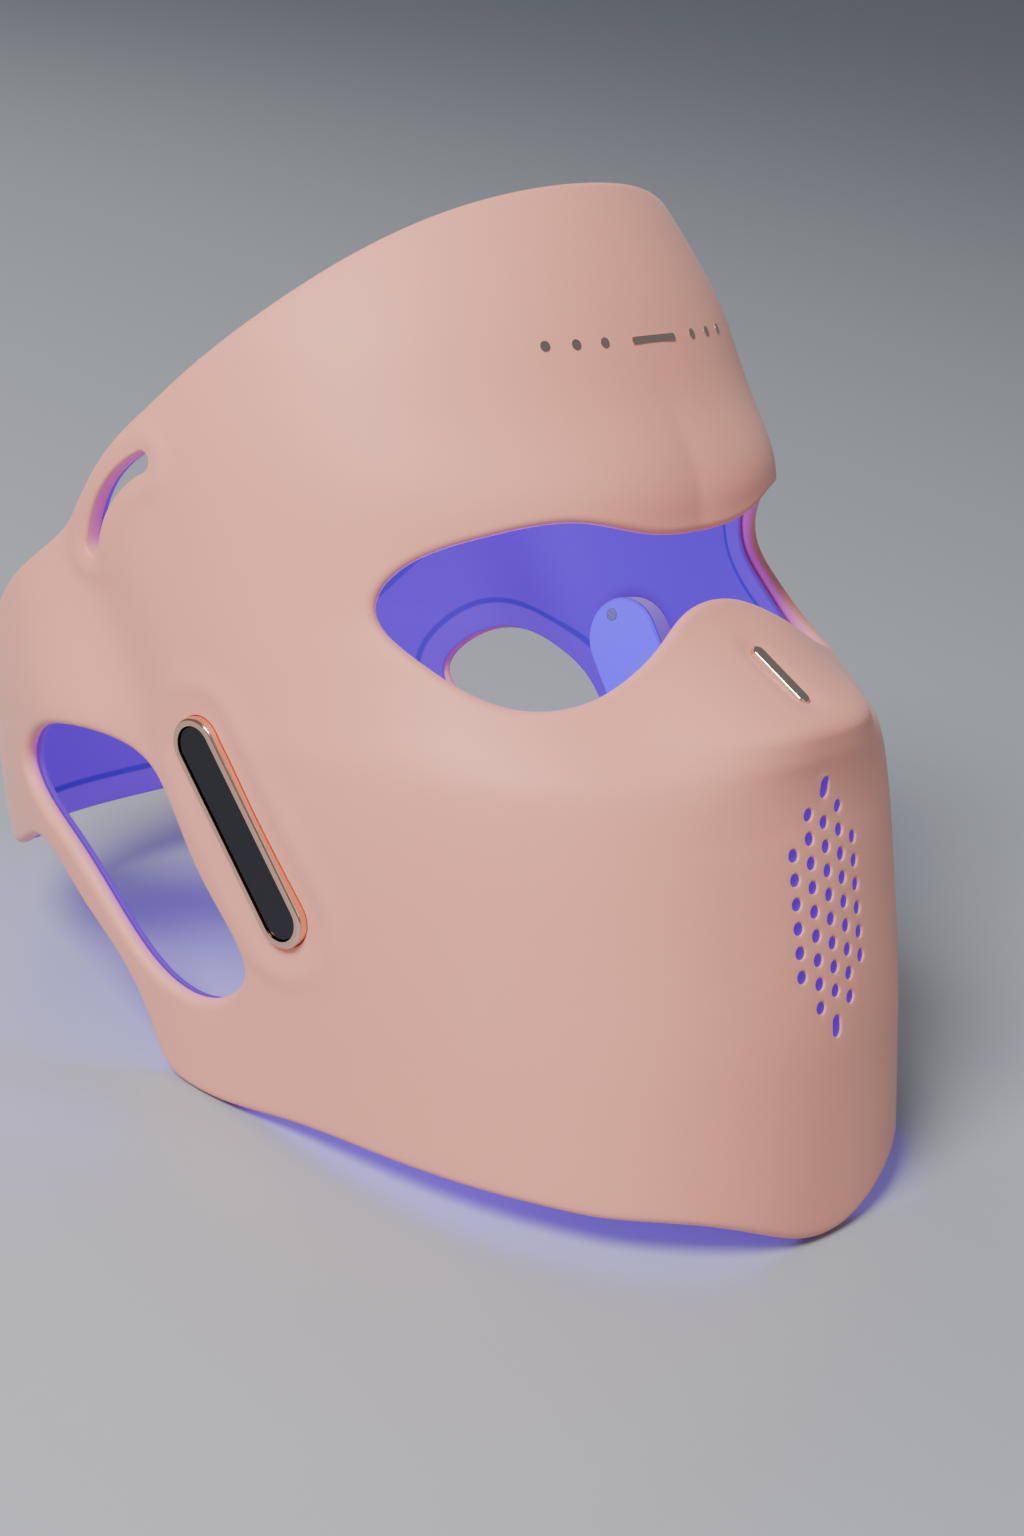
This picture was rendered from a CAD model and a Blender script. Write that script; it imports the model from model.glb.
import math

import bpy
import numpy as np
from mathutils import Matrix, Vector
from mathutils.geometry import delaunay_2d_cdt
from mathutils.kdtree import KDTree


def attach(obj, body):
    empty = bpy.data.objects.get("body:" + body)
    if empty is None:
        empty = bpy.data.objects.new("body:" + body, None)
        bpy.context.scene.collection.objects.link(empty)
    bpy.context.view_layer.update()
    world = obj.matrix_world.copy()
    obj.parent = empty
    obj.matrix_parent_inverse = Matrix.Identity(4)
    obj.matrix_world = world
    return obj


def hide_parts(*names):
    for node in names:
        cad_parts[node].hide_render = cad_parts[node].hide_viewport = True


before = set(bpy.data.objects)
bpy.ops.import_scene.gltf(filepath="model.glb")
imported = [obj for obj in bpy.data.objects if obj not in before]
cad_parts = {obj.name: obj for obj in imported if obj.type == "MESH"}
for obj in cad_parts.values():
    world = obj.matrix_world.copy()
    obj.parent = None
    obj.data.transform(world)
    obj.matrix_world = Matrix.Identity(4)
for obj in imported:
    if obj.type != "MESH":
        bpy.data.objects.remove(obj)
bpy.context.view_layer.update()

# Soft full-face light-therapy mask. The outer shell and the lit liner are made here as smooth meshes
# of the same head form as the solids; every other part is a solid that gets its finish here.
# The head form is worked out in millimetres in the head frame (chin at the origin, face along -Y)
# and then leant back into the row frame.

MM = 0.001

# ---- head form, the same sizes as the solids, mm ----
SHELL_WALL, LINER_WALL, BOND_GAP = 4.0, 1.35, 0.05
REST_LEAN = 11.6
REST_SHIFT = (0.0, -118.949, 0.742)
REAR_SQUARENESS = 2.6
STATIONS = np.array([
    (-20, 1.0, 100, 67, 118, 2.60),
    (0, 0.0, 100, 69, 118, 2.60),
    (40, 0.5, 101, 73, 117, 2.50),
    (75, 4.0, 104, 77, 115, 2.45),
    (95, 6.0, 106, 79, 112, 2.35),
    (104, 8.0, 107, 79.5, 111, 2.30),
    (110, 12.0, 108, 80, 110, 2.20),
    (117, 18.5, 109, 80, 109, 2.10),
    (127, 27.5, 110, 80, 108, 2.05),
    (137, 35.0, 112, 80, 106, 2.05),
    (160, 42.5, 116, 79.5, 102, 2.05),
    (190, 51.0, 124, 75, 95, 2.10),
    (215, 63.0, 132, 63, 88, 2.10),
    (240, 84.0, 140, 46, 80, 2.10),
])
NOSE = np.array([(92, 0, 50), (97, 0.8, 48), (103, 3.0, 44), (108.5, 7.5, 42), (113.5, 11.5, 40),
                 (120, 7.5, 36), (127, 3.8, 33), (137, 1.0, 30), (150, 0.3, 27), (175, 0, 24)])
NOSE_CREST = 4.0
BROW_HEIGHT, BROW_OUT = 162, 6.0
EAR_FLARE = 5.0
TOP_EDGE = [(30, 236), (66, 226), (88, 211.3), (104, 197), (125, 180), (143, 164), (155, 151),
            (183, 131), (200, 114), (216, 101), (250, 95)]
LOWER_EDGE = [(250, 62), (205, 66), (187, 70), (171, 75), (156, 63.5), (143, 50.5), (136, 36),
              (131.5, 27.6), (126, 25.2), (92, 23), (65, 20), (40, 16.2), (25, 12.6), (10, 4), (-5, -8)]
CHIN_RISE, CHIN_TURN, CHIN_BLEND = 13.0, 17.0, 2.5
EAR_OPENING = [(150, 105), (168, 101), (174, 94), (160, 79), (146, 65.5), (131, 51), (114, 48),
               (105, 55), (115, 75.5), (128, 97)]
STRAP_SLOT_ENDS = ((127.5, 166), (146, 146))
STRAP_SLOT_WIDTH, STRAP_SLOT_BOW = 4.6, 3.0
VISOR_HALF = [(18, 152.5), (35, 156), (52, 153.5), (64, 147), (68, 138), (64, 128), (57, 121),
              (45, 120.5), (32, 125), (18, 132), (8, 136)]
VISOR_BROW_HEIGHT, VISOR_NOSE_HEIGHT = 151, 137
VENT_DIAMETER, VENT_ROW, VENT_COLUMN, VENT_CENTRE_HEIGHT = 2.9, 5.2, 5.5, 73.6
VENT_OVAL_LENGTH, VENT_OVAL_OFFSET = 5.0, 26.0
POD_CENTRE, POD_TILT = (101, 89), 30.6
POD_LENGTH, POD_WIDTH = 64.0, 21.0
BEZEL_LENGTH, BEZEL_WIDTH = 54.0, 13.0
NOSE_BAR_HEIGHT, NOSE_BAR_SLOPE = 122.0, 36.0
NOSE_BAR_LENGTH, NOSE_BAR_WIDTH = 17.5, 3.4
SHELL_OVER_POD, POCKET_GAP, LINER_INSET = 2.6, 0.3, 0.6
VENT_INSET_OF_LINER = -0.15   # the liner's breathing holes are a little larger than the shell's

# ---- soft details that only the shown shell has, mm ----
PILL_RING, PILL_DISH = 0.6, 0.5
SLOT_BORDER, NOSE_SEAT = 0.8, 0.7

# ---- lit liner ----
LINER_BORDER, LINER_SEAM, LINER_GLOW = "#9A3CFF", "#4A0AA8", "#8A14FF"
LINER_STRENGTH = 0.42

# ---- mesh sizes, mm ----
GRID = 1.7                    # spacing of the points inside a sheet
EDGE_STEP = 1.1               # spacing of the points along an opening
RIM_ROUND = 2.1               # rounding of the silicone's edges
SLOT_ROUND = 0.8
VENT_ROUND = 0.45
POD_EDGE_ROUND = 0.3
VENT_STEP = 0.45
ROUND_STEPS = 7
LOWEST_ROW, HIGHEST_ROW = -10, 240
CLEAR_OF_LINES = 0.55         # share of the spacing kept free along every line
FOLD_STEP = 1.3               # spacing of the points along a fold inside a sheet
LOOP_LEAST = 8                # fewest points in a loop
DEGREE = 1.36                 # length of one degree round the head, for an even grid
FLAT = np.array([DEGREE, 1.0])


# ---- head form ----
def smooth(t):
    t = np.clip(t, 0.0, 1.0)
    return t * t * t * (t * (6 * t - 15) + 10)


def bell(t):
    return np.exp(-np.square(t))


def through(heights, values, z):
    """Cubic through (height, value) pairs, without overshoot."""
    steps = np.diff(heights)
    slopes = np.diff(values) / steps
    tangents = np.concatenate([slopes[:1], slopes[1:] * 0, slopes[-1:]])
    before, after = slopes[:-1], slopes[1:]
    weight_before = 2 * steps[1:] + steps[:-1]
    weight_after = steps[1:] + 2 * steps[:-1]
    rising = before * after > 0
    safe_before, safe_after = np.where(rising, before, 1), np.where(rising, after, 1)
    mean = (weight_before + weight_after) / (weight_before / safe_before + weight_after / safe_after)
    tangents[1:-1] = np.where(rising, mean, 0)
    z = np.clip(z, heights[0], heights[-1])
    i = np.clip(np.searchsorted(heights, z, side="right") - 1, 0, len(steps) - 1)
    t = (z - heights[i]) / steps[i]
    return (values[i] * (1 + 2 * t) * (1 - t) ** 2 + tangents[i] * steps[i] * t * (1 - t) ** 2
            + values[i + 1] * t * t * (3 - 2 * t) - tangents[i + 1] * steps[i] * t * t * (1 - t))


def station(z):
    """Front depth, axis depth, half width, rear reach and squareness at each height."""
    return [through(STATIONS[:, 0], STATIONS[:, k], z) for k in range(1, 6)]


def plain_radius(angle, z):
    front, axis, width, rear, square = station(z)
    side, ahead = np.abs(np.sin(angle)), np.cos(angle)
    reach = np.where(ahead >= 0, axis - front, rear)
    power = REAR_SQUARENESS + (square - REAR_SQUARENESS) * smooth((ahead + 0.25) / 0.5)
    return ((side / width) ** power + (np.abs(ahead) / reach) ** power) ** (-1 / power)


def features(angle, z, radius):
    """How far the nose, brow, mouth and ear flare stand out from the plain form."""
    across, ahead = radius * np.sin(angle), np.cos(angle)
    facing = np.where(ahead > 0, 1.0, 0.0)
    height = through(NOSE[:, 0], NOSE[:, 1], z)
    half = through(NOSE[:, 0], NOSE[:, 2], z)
    from_crest = np.sqrt(across ** 2 + NOSE_CREST ** 2) - NOSE_CREST
    out = height * smooth(1 - from_crest / half) ** 0.8 * facing
    out += BROW_OUT * bell((z - BROW_HEIGHT) / 13) * ahead ** 2 * bell((np.abs(across) - 30) / 45) * facing
    out += 1.5 * bell((z - 70) / 35) * bell(across / 20) * facing
    behind_fold = station(z)[1] - radius * ahead - (128 + 0.45 * (z - 100))
    out += EAR_FLARE * smooth(behind_fold / 32) * bell((z - 105) / 60)
    out -= 3.0 * bell(behind_fold / 13) * bell((z - 122) / 30)
    return out


def at_radius(angle, z, radius):
    return np.stack([radius * np.sin(angle), station(z)[1] - radius * np.cos(angle), z], -1)


def unit(vectors):
    return vectors / np.linalg.norm(vectors, axis=-1, keepdims=True)


def inward(degrees, z):
    """Unit vectors into the head, square to the plain form taken over a wide patch."""
    angle, turn, rise = np.radians(degrees), math.radians(3), 8.0

    def plain(a, h):
        return at_radius(a, h, plain_radius(a, h))

    around = plain(angle + turn, z) - plain(angle - turn, z)
    upward = plain(angle, z + rise) - plain(angle, z - rise)
    return unit(np.cross(upward, around))


def skin(degrees, z, depth=0.0):
    """Points of the mask at angles and heights, depth in from its outer face."""
    degrees, z = np.broadcast_arrays(np.asarray(degrees, float), np.asarray(z, float))
    angle = np.radians(degrees)
    radius = plain_radius(angle, z)
    points = at_radius(angle, z, radius + features(angle, z, radius))
    return points + inward(degrees, z) * depth if np.any(depth) else points


def slopes_at(degrees, z):
    """How a point moves for one degree and for one millimetre of height."""
    turn, rise = 0.3, 0.4
    by_degree = (skin(degrees + turn, z) - skin(degrees - turn, z)) / (2 * turn)
    by_height = (skin(degrees, z + rise) - skin(degrees, z - rise)) / (2 * rise)
    return by_degree, by_height


def outward_normal(degrees, z):
    by_degree, by_height = slopes_at(degrees, z)
    return unit(np.cross(by_degree, by_height))


def place_on_skin(targets, origin, first, second, guess):
    """Angles and heights whose points, seen along first and second from origin, are the targets."""
    spot = np.array(guess, float)
    for _ in range(12):
        offset = skin(spot[:, 0], spot[:, 1]) - origin
        miss = np.stack([offset @ first, offset @ second], -1) - targets
        by_degree, by_height = slopes_at(spot[:, 0], spot[:, 1])
        a, b = by_degree @ first, by_height @ first
        c, d = by_degree @ second, by_height @ second
        size = a * d - b * c
        step = np.stack([(d * miss[:, 0] - b * miss[:, 1]) / size,
                         (a * miss[:, 1] - c * miss[:, 0]) / size], -1)
        spot -= np.clip(step, -12, 12)
    return spot


# ---- outlines ----
def spline(points, closed):
    """Smooth curve through points, as a function of the share of its chords' length."""
    points = np.array(points + points[:1] if closed else points, float)
    knots = run_lengths(points)
    count = len(points)
    steps = np.diff(knots)
    matrix = np.eye(count)
    right = np.zeros_like(points)
    for k in range(1, count - 1):
        matrix[k, k - 1:k + 2] = steps[k - 1], 2 * (steps[k - 1] + steps[k]), steps[k]
        right[k] = 6 * ((points[k + 1] - points[k]) / steps[k] - (points[k] - points[k - 1]) / steps[k - 1])
    if closed:
        matrix[0, 0], matrix[0, -1] = 1, -1
        matrix[-1] = 0
        matrix[-1, [0, 1, -2, -1]] = 2 * steps[0], steps[0], steps[-1], 2 * steps[-1]
        right[-1] = 6 * ((points[1] - points[0]) / steps[0] - (points[-1] - points[-2]) / steps[-1])
    bends = np.linalg.solve(matrix, right)

    def curve(share):
        s = np.asarray(share) * knots[-1]
        i = np.clip(np.searchsorted(knots, s, side="right") - 1, 0, count - 2)
        step, t = steps[i][:, None], ((s - knots[i]) / steps[i])[:, None]
        bend = ((1 - t) ** 3 - (1 - t)) * bends[i] + (t ** 3 - t) * bends[i + 1]
        return (1 - t) * points[i] + t * points[i + 1] + bend * step ** 2 / 6
    return curve


def run_lengths(points):
    """Length along a line up to each of its points."""
    return np.concatenate([[0], np.cumsum(np.linalg.norm(np.diff(points, axis=0), axis=1))])


def evenly(loop, step):
    """The same closed line with its points a step apart."""
    line = np.concatenate([loop, loop[:1]])
    runs = run_lengths(line)
    at = np.linspace(0, runs[-1], max(LOOP_LEAST, round(runs[-1] / step)), endpoint=False)
    return np.stack([np.interp(at, runs, line[:, k]) for k in range(line.shape[1])], -1)


def stadium_line(length, width, step=0.6):
    """Round-ended outline about the origin, along the first axis."""
    half, radius = (length - width) / 2, width / 2
    turns = np.linspace(-math.pi / 2, math.pi / 2, max(8, round(math.pi * radius / step)))
    cap = np.stack([half + radius * np.cos(turns), radius * np.sin(turns)], -1)
    return evenly(np.concatenate([cap, -cap]), step)


X, Y, Z = np.eye(3)
ZERO = np.zeros(3)


def side_loop(line, left):
    """A side-view outline (depth, height) on one side of the mask, in degrees and height."""
    guess = np.stack([np.degrees(np.arccos(np.clip((107 - line[:, 0]) / 90, -0.99, 0.99))), line[:, 1]], -1)
    loop = place_on_skin(line, ZERO, Y, Z, guess)
    return loop if left else loop * (-1, 1)


def front_loop(line):
    """A front-view outline (across, height), in degrees and height."""
    guess = np.stack([np.degrees(np.arcsin(np.clip(line[:, 0] / 90, -0.9, 0.9))), line[:, 1]], -1)
    return place_on_skin(line, ZERO, X, Z, guess)


def angle_at_depth(depth, height):
    return side_loop(np.array([(depth, height)], float), left=True)[0, 0]


def local_axes(degrees, z, along):
    """Origin, x, y and outward axes of a place on the skin, with x close to the direction along."""
    reach = 4.0
    around = skin(degrees + reach, z) - skin(degrees - reach, z)
    upward = skin(degrees, z + reach) - skin(degrees, z - reach)
    out = unit(np.cross(around, upward))
    flat = unit(along - out * (along @ out))
    return skin(degrees, z), flat, np.cross(out, flat), out


POD_ANGLE = angle_at_depth(*POD_CENTRE)
TILT = math.radians(POD_TILT)
POD_AXES = {
    "left": local_axes(POD_ANGLE, POD_CENTRE[1], np.array([0, math.sin(TILT), math.cos(TILT)])),
    "right": local_axes(-POD_ANGLE, POD_CENTRE[1], np.array([0, math.sin(TILT), math.cos(TILT)])),
}
NOSE_SLOPE = math.radians(NOSE_BAR_SLOPE)
NOSE_AXES = (skin(0, NOSE_BAR_HEIGHT), np.array([0, math.cos(NOSE_SLOPE), math.sin(NOSE_SLOPE)]),
             X, np.array([0, -math.sin(NOSE_SLOPE), math.cos(NOSE_SLOPE)]))


def pod_loop(side, length, width):
    origin, along, across, _ = POD_AXES[side]
    line = stadium_line(length, width)
    start = np.tile([POD_ANGLE if side == "left" else -POD_ANGLE, POD_CENTRE[1]], (len(line), 1))
    return place_on_skin(line, origin, along, across, start)


def nose_loop(grow):
    """Outline round the nose bar, grown outward."""
    origin, along, across, _ = NOSE_AXES
    line = stadium_line(NOSE_BAR_LENGTH + 2 * grow, NOSE_BAR_WIDTH + 2 * grow)
    guess = np.stack([line[:, 1] * 0.6, NOSE_BAR_HEIGHT + line[:, 0] * math.sin(NOSE_SLOPE)], -1)
    return place_on_skin(line, origin, along, across, guess)


def slot_middle():
    """Middle line of the strap slot in the side view: an arc through its bowed middle."""
    first, last = (np.array(end, float) for end in STRAP_SLOT_ENDS)
    along = unit(last - first)
    square = np.array([-along[1], along[0]])
    half = np.linalg.norm(last - first) / 2
    radius = (half ** 2 + STRAP_SLOT_BOW ** 2) / (2 * STRAP_SLOT_BOW)
    centre = (first + last) / 2 + square * (STRAP_SLOT_BOW - radius)
    spread = math.asin(half / radius)
    turns = np.linspace(-spread, spread, 25)[:, None]
    return centre + radius * (np.cos(turns) * square + np.sin(turns) * along)


def slot_line():
    middle = slot_middle()
    along = unit(np.gradient(middle, axis=0))
    square = np.stack([-along[:, 1], along[:, 0]], -1) * STRAP_SLOT_WIDTH / 2
    turns = np.linspace(0, math.pi, 9)[1:-1, None]
    cap_last = middle[-1] + square[-1] * np.cos(turns) + along[-1] * STRAP_SLOT_WIDTH / 2 * np.sin(turns)
    cap_first = middle[0] - square[0] * np.cos(turns) - along[0] * STRAP_SLOT_WIDTH / 2 * np.sin(turns)
    return np.concatenate([middle + square, cap_last, (middle - square)[::-1], cap_first])


def vent_lines():
    """Front-view outlines of the breathing holes: staggered columns of 8, 9 and 6, and two ovals."""
    turns = np.linspace(0, 2 * math.pi, 22, endpoint=False)
    circle = np.stack([np.cos(turns), np.sin(turns)], -1) * VENT_DIAMETER / 2
    lines = []
    for column, count in ((0, 8), (1, 9), (2, 6)):
        for k in range(count):
            height = VENT_CENTRE_HEIGHT + (k - (count - 1) / 2) * VENT_ROW
            for side in ((1, -1) if column else (1,)):
                lines.append(circle + (side * column * VENT_COLUMN, height))
    oval = stadium_line(VENT_OVAL_LENGTH, VENT_DIAMETER, 0.45)[:, ::-1]
    return lines + [oval + (0, VENT_CENTRE_HEIGHT + side * VENT_OVAL_OFFSET) for side in (1, -1)]


def chin_edge(degrees):
    return CHIN_RISE * (1 - bell(degrees / CHIN_TURN))


def edge_heights(outline, degrees, low, high):
    """Height at each angle where the skin crosses a side-view outline."""
    line = spline(outline, closed=False)(np.linspace(0, 1, 600))
    line = line[np.argsort(line[:, 0])]
    low, high = np.full(len(degrees), low, float), np.full(len(degrees), high, float)
    for _ in range(40):
        middle = (low + high) / 2
        above = middle > np.interp(skin(degrees, middle)[:, 1], line[:, 0], line[:, 1])
        low, high = np.where(above, low, middle), np.where(above, middle, high)
    return (low + high) / 2


def ring_edges():
    """The mask's lower and top edges, from the rear middle round to the rear middle."""
    degrees = np.linspace(-180, 180, 1201)
    turn = np.abs(degrees)
    side = edge_heights(LOWER_EDGE, turn, -8, 120)
    chin = chin_edge(turn)
    lower = (side + chin + np.sqrt((side - chin) ** 2 + CHIN_BLEND ** 2)) / 2
    top = edge_heights(TOP_EDGE, turn, 80, 236)
    edges = []
    for heights in (lower, top):
        points = skin(degrees, heights)
        runs = run_lengths(points)
        half = round(runs[-1] / 2 / EDGE_STEP)
        at = np.linspace(0, runs[-1] / 2, half + 1)
        left = np.stack([np.interp(at, runs, degrees), np.interp(at, runs, heights)], -1)
        left[-1, 0] = 0
        edges.append(np.concatenate([left, left[-2::-1] * (-1, 1)]))
    return edges


def moved_aside(loop, distance):
    """A loop moved along the skin, towards its left as seen from outside."""
    points = skin(loop[:, 0], loop[:, 1])
    ahead = unit(np.roll(points, -1, 0) - np.roll(points, 1, 0))
    aside = np.cross(outward_normal(loop[:, 0], loop[:, 1]), ahead) * distance
    by_degree, by_height = slopes_at(loop[:, 0], loop[:, 1])
    a, b, c = (np.sum(p * q, -1) for p, q in
               ((by_degree, by_degree), (by_degree, by_height), (by_height, by_height)))
    u, v = np.sum(aside * by_degree, -1), np.sum(aside * by_height, -1)
    size = a * c - b * b
    return loop + np.stack([(c * u - b * v) / size, (a * v - b * u) / size], -1)


def opening_on_left(loop):
    """The loop turned so that the opening it bounds is on its left as seen from outside."""
    x, z = loop[:, 0], loop[:, 1]
    area = np.sum(x * np.roll(z, -1) - np.roll(x, -1) * z)
    return loop if area > 0 else loop[::-1]


def on_skin(loop, step=EDGE_STEP):
    """A loop with its points a step apart on the skin."""
    closed = np.concatenate([loop, loop[:1]])
    runs = run_lengths(skin(closed[:, 0], closed[:, 1]))
    at = np.linspace(0, runs[-1], max(LOOP_LEAST, round(runs[-1] / step)), endpoint=False)
    return np.stack([np.interp(at, runs, closed[:, k]) for k in (0, 1)], -1)


def visor_loop():
    right = VISOR_HALF
    left = [(-x, z) for x, z in reversed(VISOR_HALF)]
    outline = [(0, VISOR_BROW_HEIGHT)] + right + [(0, VISOR_NOSE_HEIGHT)] + left
    return front_loop(spline(outline, closed=True)(np.linspace(0, 1, 400, endpoint=False)))


def mask_openings():
    """Every opening's loop, as name, loop and the rounding of its edge."""
    ear = spline(EAR_OPENING, closed=True)(np.linspace(0, 1, 300, endpoint=False))
    openings = [("visor", visor_loop(), RIM_ROUND)]
    for left in (True, False):
        openings.append(("ear", side_loop(ear, left), RIM_ROUND))
        openings.append(("slot", side_loop(slot_line(), left), SLOT_ROUND))
    openings += [("vent", front_loop(line), VENT_ROUND) for line in vent_lines()]
    return [(name, opening_on_left(loop), rounding) for name, loop, rounding in openings]


def inside(points, polygon):
    """Which points lie inside a closed polygon."""
    found = np.zeros(len(points), bool)
    low, high = polygon.min(0), polygon.max(0)
    near = np.flatnonzero(np.all((points >= low) & (points <= high), axis=1))
    start, end = polygon, np.roll(polygon, -1, 0)
    for some in np.array_split(near, max(1, len(near) // 2000)):
        x, z = points[some, 0][:, None], points[some, 1][:, None]
        spans = (start[:, 1] > z) != (end[:, 1] > z)
        rise = np.where(end[:, 1] == start[:, 1], 1, end[:, 1] - start[:, 1])
        crossing = start[:, 0] + (z - start[:, 1]) / rise * (end[:, 0] - start[:, 0])
        found[some] = np.sum(spans & (x < crossing), axis=1) % 2 == 1
    return found


def distance_to(points, targets):
    """Distance from each point to the nearest target."""
    tree = KDTree(len(targets))
    for k, target in enumerate(targets):
        tree.insert((*target, 0) if len(target) == 2 else target, k)
    tree.balance()
    return np.array([tree.find((*p, 0) if len(p) == 2 else p)[2] for p in points])


def within(points, border, holes):
    """Which flat points lie inside the border and outside every hole."""
    keep = inside(points, border)
    for hole in holes:
        keep &= ~inside(points, hole * FLAT)
    return keep


def even_grid():
    """Rows of points over the whole unrolled head, each row shifted by half a step from the last."""
    rows = np.arange(LOWEST_ROW, HIGHEST_ROW, GRID * math.sqrt(3) / 2)
    columns = np.arange(-180 * DEGREE, 180 * DEGREE, GRID)
    x, z = np.meshgrid(columns, rows)
    x = x + (np.arange(len(rows)) % 2)[:, None] * GRID / 2
    return np.stack([x.ravel(), z.ravel()], -1)


def line_edges(loops, open_loops):
    """Pairs of neighbouring points along loops whose points are numbered one after the other."""
    edges, first = [], 0
    for k, loop in enumerate(loops):
        run = np.arange(first, first + len(loop))
        edges += list(zip(run[:-1], run[1:]))
        if k not in open_loops:
            edges.append((run[-1], run[0]))
        first += len(loop)
    return edges


def triangulated(lower, top, holes, folds):
    """Points and triangles of the flat sheet between two edges, without its holes.

    The sheet is cut open at the rear. Its points come as lower edge, top edge, holes, then the rest.
    The third result gives, for each point, the one that stands for it once the cut is joined."""
    heights = np.linspace(lower[0, 1], top[0, 1], round((top[0, 1] - lower[0, 1]) / GRID))[1:-1]
    seams = [np.stack([np.full(len(heights), side), heights], -1) for side in (-180.0, 180.0)]
    loops = [lower, top] + holes + seams + folds
    seam_number = 2 + len(holes)
    edges = line_edges(loops, (0, 1, seam_number, seam_number + 1))
    border = np.concatenate([lower, top[::-1]]) * FLAT
    points = np.concatenate(loops) * FLAT
    inner = even_grid()
    inner = inner[within(inner, border, holes)]
    inner = inner[distance_to(inner, points) > CLEAR_OF_LINES * GRID]
    everything = np.concatenate([points, inner])
    _, _, faces, origin, _, _ = delaunay_2d_cdt([Vector(p) for p in everything], edges, [], 0, 1e-7)
    triangles = np.array([ids[0] for ids in origin])[np.array(faces)]
    triangles = triangles[within(everything[triangles].mean(1), border, holes)]
    corners = everything[triangles]
    side, other = corners[:, 1] - corners[:, 0], corners[:, 2] - corners[:, 0]
    clockwise = side[:, 0] * other[:, 1] < side[:, 1] * other[:, 0]
    triangles[clockwise] = triangles[clockwise][:, ::-1]
    joined = np.arange(len(everything))
    joined[len(lower) - 1] = 0
    joined[len(lower) + len(top) - 1] = len(lower)
    seam_start = sum(len(loop) for loop in loops[:seam_number])
    span = np.arange(len(heights))
    joined[seam_start + len(heights) + span] = seam_start + span
    return everything / FLAT, joined[triangles], joined


def in_row_frame(points):
    """Head-frame millimetres to row-frame metres."""
    lean = math.radians(REST_LEAN)
    x, y, z = points[:, 0], points[:, 1], points[:, 2]
    leant = np.stack([x, y * math.cos(lean) + z * math.sin(lean),
                      z * math.cos(lean) - y * math.sin(lean)], -1)
    return (leant + REST_SHIFT) * MM


def edge_loops(inset, vent_inset, most_round, pod_hole):
    """Every edge of a sheet with its rounding: the lower and top edges, the openings and the pods'."""
    lower, top = ring_edges()
    loops = [(lower[::-1], most_round), (top, most_round)]
    for kind, loop, rounding in mask_openings():
        aside, step = (vent_inset, VENT_STEP) if kind == "vent" else (inset, EDGE_STEP)
        loops.append((on_skin(moved_aside(loop, -aside), step), min(rounding, most_round)))
    for side in POD_AXES:
        loops.append((on_skin(opening_on_left(pod_loop(side, *pod_hole))), POD_EDGE_ROUND))
    return loops


def drawn_in(loops, inset):
    """Where each edge's rounding begins on the face. The first two edges are cut at the rear middle."""
    starts = []
    for k, (loop, rounding) in enumerate(loops):
        if k < 2:
            moved = moved_aside(loop[:-1], -rounding - inset)
            starts.append(np.concatenate([moved, [(-moved[0, 0], moved[0, 1])]]))
        else:
            starts.append(moved_aside(loop, -rounding))
    return starts


def rim_rings(near, far, rounding):
    """Rings of points that round a wall's edge from its near face to its far face."""
    ahead = unit(np.roll(near, -1, 0) - np.roll(near, 1, 0))
    half = np.linalg.norm(near - far, axis=1, keepdims=True) / 2
    through_wall = unit(near - far)
    aside = unit(np.cross(through_wall, ahead))
    # An edge rounded right through has one ring at its crest, with no straight wall.
    bullnose = rounding >= half.min() - 0.05
    corner = half if bullnose else np.minimum(rounding, half)
    turns = np.linspace(0, math.pi / 2, ROUND_STEPS)[1:]
    return [(near + far) / 2 + aside * rounding * math.sin(turn)
            + through_wall * face * (half - corner * (1 - math.cos(turn)))
            for face, turns_on_face in ((1, turns), (-1, turns[-2::-1] if bullnose else turns[::-1]))
            for turn in turns_on_face]


def new_mesh_object(name, points, faces, glowing, long_edges):
    """The object of a sheet, with each point's distance from the nearest long edge."""
    used = np.unique(np.concatenate([group.ravel() for group in faces]))
    renumbered = np.full(len(points), -1)
    renumbered[used] = np.arange(len(used))
    mesh = bpy.data.meshes.new(name)
    mesh.from_pydata(in_row_frame(points[used]).tolist(), [],
                     [face for group in faces for face in renumbered[group].tolist()])
    mesh.polygons.foreach_set("use_smooth", [True] * len(mesh.polygons))
    mesh.polygons.foreach_set("material_index", [int(glows) for glows in glowing])
    from_edge = mesh.attributes.new("from_edge", "FLOAT", "POINT")
    edge_points = np.concatenate([skin(loop[:, 0], loop[:, 1]) for loop in long_edges])
    from_edge.data.foreach_set("value", distance_to(points[used], edge_points))
    mesh.update()
    made = bpy.data.objects.new(name, mesh)
    bpy.context.scene.collection.objects.link(made)
    return made


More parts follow.
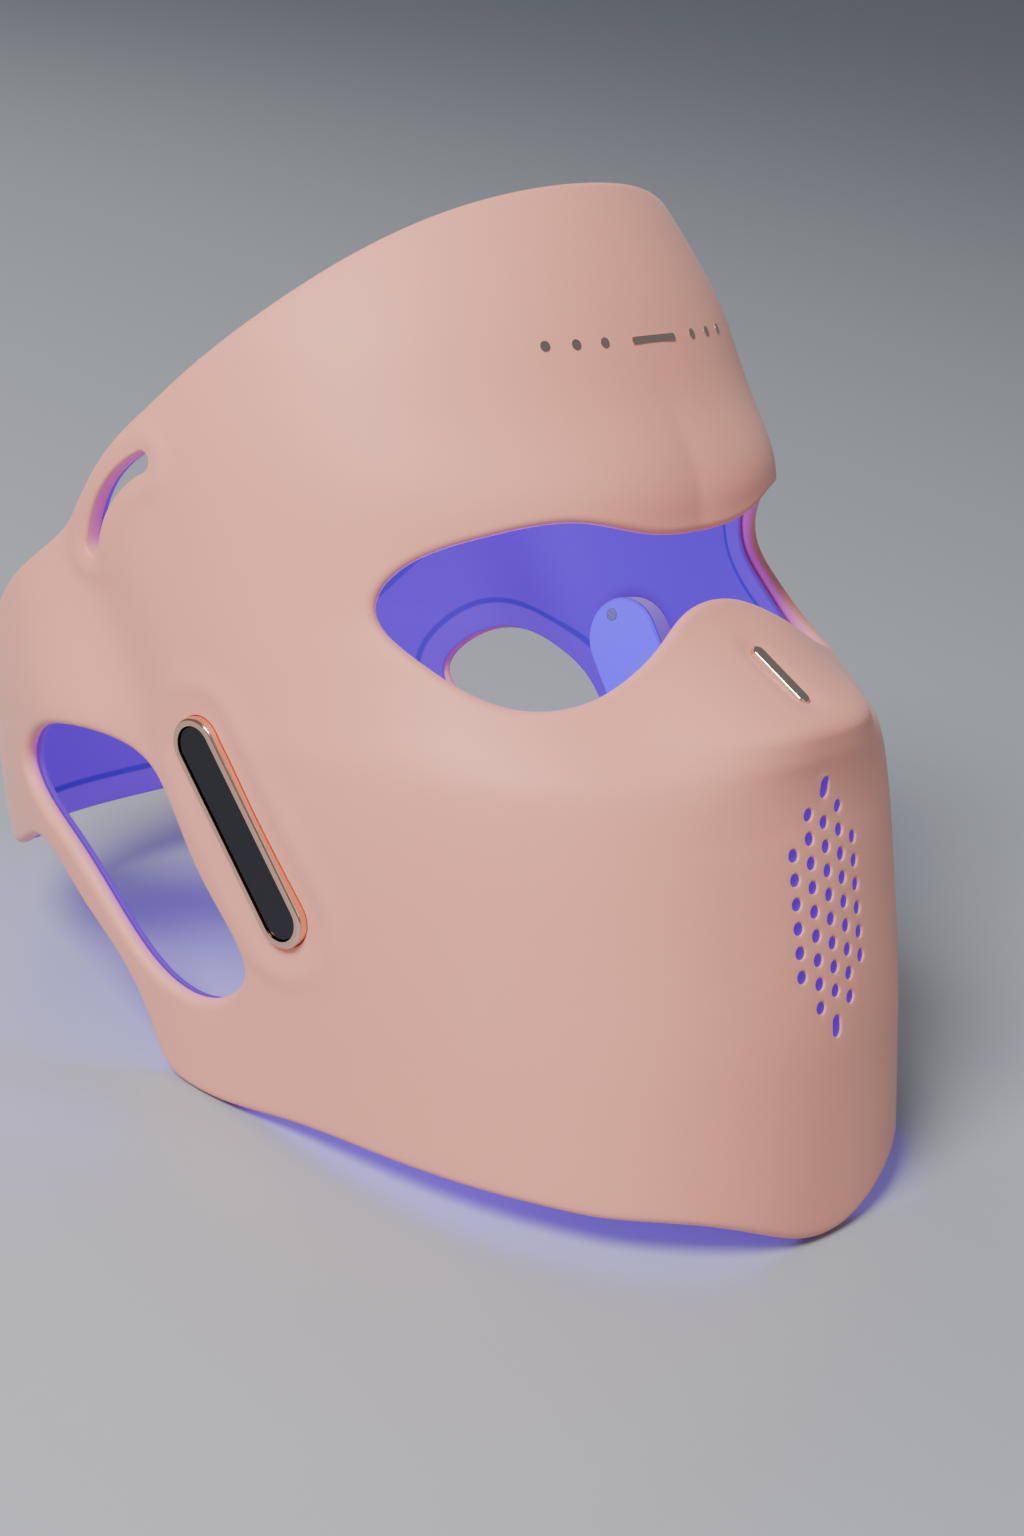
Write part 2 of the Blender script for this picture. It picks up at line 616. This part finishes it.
def sheet(name, outer_depth, inner_depth, inset, vent_inset, most_round, pod_hole, relief, folds):
    """One layer of the mask as a closed mesh with rounded edges.

    outer_depth, inner_depth and relief are functions of an array of places on the skin."""
    loops = edge_loops(inset, vent_inset, most_round, pod_hole)
    starts = drawn_in(loops, inset)
    spots, triangles, joined = triangulated(starts[0][::-1], starts[1], starts[2:], folds)
    outside = skin(spots[:, 0], spots[:, 1], outer_depth(spots)[:, None])
    outside = outside + outward_normal(spots[:, 0], spots[:, 1]) * relief(spots)[:, None]
    backside = skin(spots[:, 0], spots[:, 1], inner_depth(spots)[:, None])
    points = [outside, backside]
    faces = [triangles, triangles[:, ::-1] + len(spots)]
    glowing = [False] * (2 * len(triangles))
    base, first = 2 * len(spots), 0
    for k, (start, (_, rounding)) in enumerate(zip(starts, loops)):
        run = np.arange(first, first + len(start))
        first += len(start)
        if k == 0:
            run = run[::-1]
        if k < 2:
            run = run[:-1]
        run = joined[run]
        rings = rim_rings(outside[run], backside[run], rounding)
        numbers = [base + len(run) * n + np.arange(len(run)) for n in range(len(rings))]
        ladder = [run] + numbers + [run + len(spots)]
        points += rings
        base += len(run) * len(rings)
        for rung, (upper, below) in enumerate(zip(ladder, ladder[1:])):
            faces.append(np.stack([upper, np.roll(upper, -1), np.roll(below, -1), below], -1))
            glowing += [rounding == VENT_ROUND and rung >= ROUND_STEPS - 1] * len(run)
    long_edges = [loop for loop, rounding in loops if rounding > VENT_ROUND]
    return new_mesh_object(name, np.concatenate(points), faces, glowing, long_edges)


# ---- reliefs of the outer face ----
def stadium_distance(u, v, length, width):
    """Distance outside a round-ended outline about the origin."""
    return np.hypot(np.maximum(np.abs(u) - (length - width) / 2, 0), v) - width / 2


def shell_relief(spots):
    """The soft dish and ring round each key, the slots' raised borders and the nose bar's seat."""
    points = skin(spots[:, 0], spots[:, 1])
    relief = np.zeros(len(points))
    for origin, along, across, out in POD_AXES.values():
        offset = points - origin
        near = np.abs(offset @ out) < 12
        s = stadium_distance(offset @ along, offset @ across, BEZEL_LENGTH, BEZEL_WIDTH)
        relief += near * (PILL_RING * bell((s - 7.2) / 2.6) - PILL_DISH * bell(s / 3.2))
    middle = slot_middle()
    for left in (True, False):
        line = np.repeat(middle, 4, axis=0)
        loop = side_loop(line, left)
        s = distance_to(points, skin(loop[:, 0], loop[:, 1])) - STRAP_SLOT_WIDTH / 2
        relief += SLOT_BORDER * bell((s - 3.4) / 2.4)
    origin, along, across, _ = NOSE_AXES
    offset = points - origin
    near = offset[:, 1] < 20
    s = stadium_distance(offset @ along, offset @ across, NOSE_BAR_LENGTH, NOSE_BAR_WIDTH)
    return relief - near * NOSE_SEAT * smooth(1.3 - s / 2.0)


def constant(value):
    """The same value at every place."""
    return lambda spots: np.full(len(spots), value)


def shell_back(spots):
    """Depth of the shell's inner face, which is thinner over the pods."""
    points = skin(spots[:, 0], spots[:, 1])
    depth = np.full(len(points), SHELL_WALL)
    for origin, along, across, _ in POD_AXES.values():
        offset = points - origin
        s = stadium_distance(offset @ along, offset @ across, POD_LENGTH, POD_WIDTH)
        depth[(s < 0.5) & (np.linalg.norm(offset, axis=1) < 45)] = SHELL_OVER_POD
    return depth


def outer_shell():
    folds = [pod_loop(side, POD_LENGTH + grow[0], POD_WIDTH + grow[1])
             for side in ("left", "right") for grow in ((-6, -4), (0.6, 0.6), (1.6, 1.6), (4, 6))]
    folds += [nose_loop(0.6), nose_loop(2.6)]
    folds = [evenly(fold * FLAT, FOLD_STEP) / FLAT for fold in folds]
    pocket = (BEZEL_LENGTH + POCKET_GAP, BEZEL_WIDTH + POCKET_GAP)
    return sheet("outer_shell_skin", constant(0.0), shell_back, 0.0, 0.0, RIM_ROUND, pocket,
                 shell_relief, folds)


def inner_liner():
    pocket = (POD_LENGTH + 2 * POCKET_GAP, POD_WIDTH + 2 * POCKET_GAP)
    start = SHELL_WALL + BOND_GAP
    return sheet("inner_liner_skin", constant(start), constant(start + LINER_WALL), LINER_INSET,
                 VENT_INSET_OF_LINER, LINER_WALL / 2, pocket, constant(0.0), [])


# ---- finishes ----
def linear(hex_colour):
    """sRGB hex to the linear colour of a shader socket."""
    parts = [int(hex_colour[k:k + 2], 16) / 255 for k in (1, 3, 5)]
    return tuple(c / 12.92 if c <= 0.04045 else ((c + 0.055) / 1.055) ** 2.4 for c in parts) + (1.0,)


def add(tree, kind, settings=(), values=(), links=()):
    """A node with its settings, its sockets' constants and the outputs that feed its inputs."""
    node = tree.nodes.new(kind)
    for name, value in dict(settings).items():
        setattr(node, name, value)
    for name, value in dict(values).items():
        node.inputs[name].default_value = value
    for name, source in dict(links).items():
        tree.links.new(source, node.inputs[name])
    return node


def finish(name, colour, roughness, metallic=0.0, grain_mm=0.4, grain_depth_mm=0.004, spread=0.05, **more):
    """A material whose roughness and surface vary with a fine grain of the given size."""
    material = bpy.data.materials.new(name)
    material.use_nodes = True
    tree = material.node_tree
    shader = tree.nodes["Principled BSDF"]
    for socket, value in {"Base Color": linear(colour), "Metallic": metallic, **more}.items():
        shader.inputs[socket].default_value = value
    place = add(tree, "ShaderNodeTexCoord")
    grain = add(tree, "ShaderNodeTexNoise", values={"Scale": 1 / (grain_mm * MM), "Detail": 3.0},
                links={"Vector": place.outputs["Object"]})
    rough = add(tree, "ShaderNodeMapRange",
                values={"To Min": roughness - spread, "To Max": roughness + spread},
                links={"Value": grain.outputs["Fac"]})
    bump = add(tree, "ShaderNodeBump", values={"Strength": 1.0, "Distance": grain_depth_mm * MM},
               links={"Height": grain.outputs["Fac"]})
    tree.links.new(rough.outputs["Result"], shader.inputs["Roughness"])
    tree.links.new(bump.outputs["Normal"], shader.inputs["Normal"])
    return material


def silicone():
    material = finish("silicone_rose", "#EE9A84", 0.52, grain_mm=0.35, grain_depth_mm=0.012, IOR=1.42,
                      **{"Subsurface Weight": 0.12, "Subsurface Scale": 0.003,
                         "Subsurface Radius": (1.0, 0.45, 0.35), "Sheen Weight": 0.12,
                         "Sheen Roughness": 0.5})
    tree = material.node_tree
    shader = tree.nodes["Principled BSDF"]
    place = add(tree, "ShaderNodeTexCoord")
    cloud = add(tree, "ShaderNodeTexNoise", values={"Scale": 1 / (60 * MM), "Detail": 2.0},
                links={"Vector": place.outputs["Object"]})
    tint = add(tree, "ShaderNodeMix", {"data_type": "RGBA"})
    tint.inputs[6].default_value = linear("#EC9781")
    tint.inputs[7].default_value = linear("#F09E89")
    tree.links.new(cloud.outputs["Fac"], tint.inputs[0])
    tree.links.new(tint.outputs[2], shader.inputs["Base Color"])
    return material


def liner_material():
    """Violet lit film: a paler border, a dark seam beside it and an even glow inside."""
    material = finish("liner_violet", "#2E0A78", 0.6, grain_mm=0.8, grain_depth_mm=0.01,
                      **{"Specular IOR Level": 0.2})
    tree = material.node_tree
    shader = tree.nodes["Principled BSDF"]
    edge = add(tree, "ShaderNodeAttribute", {"attribute_name": "from_edge"})
    ramp = add(tree, "ShaderNodeMapRange", values={"From Min": 0.0, "From Max": 20.0},
               links={"Value": edge.outputs["Fac"]})
    colours = add(tree, "ShaderNodeValToRGB", links={"Fac": ramp.outputs["Result"]})
    stops = colours.color_ramp.elements
    stops[0].position, stops[0].color = 0.0, linear(LINER_BORDER)
    stops[1].position, stops[1].color = 1.0, linear(LINER_GLOW)
    for position, colour in ((8.3, LINER_BORDER), (8.7, LINER_SEAM), (9.5, LINER_SEAM), (9.9, LINER_GLOW)):
        stop = stops.new(position / 20)
        stop.color = linear(colour)
    tree.links.new(colours.outputs["Color"], shader.inputs["Emission Color"])
    shader.inputs["Emission Strength"].default_value = LINER_STRENGTH
    return material


def metal(name, colour, roughness):
    return finish(name, colour, roughness, metallic=1.0, grain_mm=0.25, grain_depth_mm=0.0008, spread=0.03)


def finishes():
    """Material of every solid, by the start of its node's name."""
    rose_gold = metal("rose_gold_polished", "#EFC2A2", 0.14)
    nickel = metal("polished_nickel", "#E6D3C0", 0.1)
    steel = metal("stainless_steel", "#C9CCD0", 0.22)
    gloss = finish("black_gloss_pmma", "#060608", 0.06, grain_mm=6.0, grain_depth_mm=0.002, spread=0.01,
                   IOR=1.49)
    plastic = finish("abs_warm_white", "#E5D6D0", 0.38, IOR=1.53)
    cover = finish("abs_violet", "#5A2CC8", 0.4, IOR=1.53,
                   **{"Emission Color": linear(LINER_GLOW), "Emission Strength": LINER_STRENGTH * 0.6})
    film = finish("polyimide_flex", "#C9882E", 0.35, IOR=1.6)
    led = finish("led_epoxy", "#EFE6C8", 0.2, IOR=1.5)
    board = finish("fr4_solder_mask", "#1E5B3A", 0.3, IOR=1.55)
    chip = finish("epoxy_mould_black", "#17171A", 0.5, IOR=1.55)
    foil = metal("pouch_cell_foil", "#B9BDC4", 0.35)
    rubber = finish("silicone_black", "#141214", 0.6, IOR=1.42)
    return {"key_bezel": rose_gold, "forehead_inlay": nickel, "nose_bar": nickel, "nose_bar_clips": steel,
            "power_key": gloss, "mode_key": gloss, "key_plungers": rubber,
            "pod_case": plastic, "pod_cover": cover,
            "pod_screws": steel, "tact_switches": steel, "switch_board": board, "control_board": board,
            "driver_chips": chip, "battery_cell": foil, "usb_socket": steel, "led_board": film,
            "flex_tail": film, "leds": led}


def dress_solids(nodes):
    table = finishes()
    for name, node in nodes.items():
        if name in ("outer_shell", "inner_liner"):
            continue
        key = max((start for start in table if name.startswith(start)), key=len)
        node.data.materials.clear()
        node.data.materials.append(table[key])


# ---- studio ----
def lean_vector(x, y, z):
    lean = math.radians(REST_LEAN)
    return Vector((x, y * math.cos(lean) + z * math.sin(lean), z * math.cos(lean) - y * math.sin(lean)))


def camera():
    turn, rise = math.radians(-50), math.radians(13)
    back = Vector((math.sin(turn) * math.cos(rise), -math.cos(turn) * math.cos(rise), math.sin(rise)))
    right = Vector((math.cos(turn), math.sin(turn), 0))
    up = back.cross(right)
    place = back * 650 - right * 69.6 + up * 101.6
    axes = [lean_vector(*axis) for axis in (right, up, back)]
    data = bpy.data.cameras.new("camera")
    data.lens, data.sensor_width = 70, 36
    made = bpy.data.objects.new("camera", data)
    bpy.context.scene.collection.objects.link(made)
    spot = (lean_vector(*place) + Vector(REST_SHIFT)) * MM
    made.matrix_world = Matrix.Translation(spot) @ Matrix(axes).transposed().to_4x4()
    bpy.context.scene.camera = made


def area_light(name, place, aim, size, power, colour="#FFFFFF"):
    data = bpy.data.lights.new(name, "AREA")
    data.shape, data.size, data.energy = "DISK", size, power
    data.color = linear(colour)[:3]
    made = bpy.data.objects.new(name, data)
    bpy.context.scene.collection.objects.link(made)
    made.location = place
    made.rotation_euler = (Vector(aim) - Vector(place)).to_track_quat("-Z", "Y").to_euler()


def glow_light(place, power):
    """A violet lamp inside the mask, for the light that its liner throws on the floor and edges."""
    data = bpy.data.lights.new("liner_glow", "POINT")
    data.energy, data.shadow_soft_size = power, 0.03
    data.color = linear("#7A10FF")[:3]
    made = bpy.data.objects.new("liner_glow", data)
    bpy.context.scene.collection.objects.link(made)
    made.location = place


def studio():
    bpy.ops.mesh.primitive_plane_add(size=8, location=(0, 0, 0))
    floor = bpy.context.object
    floor.name = "floor"
    floor.data.materials.append(finish("pale_floor", "#A6A9B0", 0.5, grain_mm=1.5, grain_depth_mm=0.01))
    world = bpy.data.worlds.new("studio")
    world.use_nodes = True
    backdrop = world.node_tree.nodes["Background"]
    backdrop.inputs["Color"].default_value = linear("#BDC1CA")
    backdrop.inputs["Strength"].default_value = 0.36
    bpy.context.scene.world = world
    middle = (0, 0, 0.11)
    area_light("key", (-1.2, -0.2, 1.25), middle, 0.7, 44)
    area_light("front", (-0.4, -1.3, 0.9), middle, 0.9, 2)
    area_light("back", (0.3, 1.2, 1.0), middle, 0.8, 5)
    glow_light((0, 0.0, 0.09), 0.6)
    camera()


def main():
    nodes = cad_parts
    shell = outer_shell()
    violet = liner_material()
    shell.data.materials.append(silicone())
    shell.data.materials.append(violet)
    liner = inner_liner()
    liner.data.materials.append(violet)
    sheets = ((shell, "outer_shell", "silicone_rose"), (liner, "inner_liner", "liner_violet"))
    for made, node, slot in sheets:
        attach(made, "root")
        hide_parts(node)
    dress_solids(nodes)
    studio()


main()
